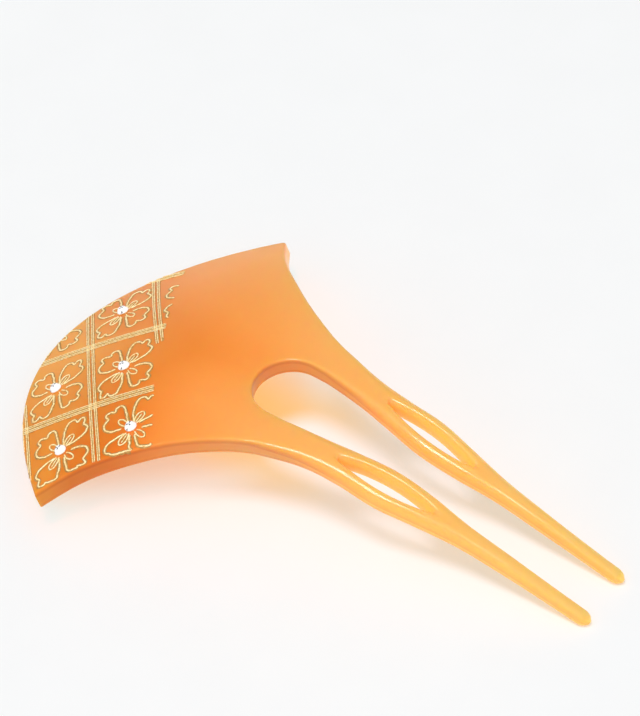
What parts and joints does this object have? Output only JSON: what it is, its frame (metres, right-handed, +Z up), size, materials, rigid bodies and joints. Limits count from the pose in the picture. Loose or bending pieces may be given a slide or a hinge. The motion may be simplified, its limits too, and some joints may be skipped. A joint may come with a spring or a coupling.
{
  "type": "kanzashi hair pin",
  "caption": "Two-pronged kanzashi hair pin with a fan-shaped head, pierced prongs, a raised gold flower lattice and small round stones on one side of the head.",
  "frame": {"origin": "centre of the bounding box, on the surface that the pin rests on", "axes": "+X along the pin from the dome edge of the head to the prong tips, +Y across the head away from the ornament, +Z up out of the resting surface"},
  "size_m": [0.1254, 0.08, 0.0193],
  "materials": {
    "amber_resin": "polished translucent honey-amber resin",
    "gold": "raised gold print, satin",
    "clear_stone": "clear cut glass with a foil back"
  },
  "bodies": {
    "root": {"body": "amber_resin", "gold_bands": "gold", "gold_flowers": "gold", "stone_1": "clear_stone", "stone_2": "clear_stone", "stone_3": "clear_stone", "stone_4": "clear_stone", "stone_5": "clear_stone"}
  },
  "joints": []
}
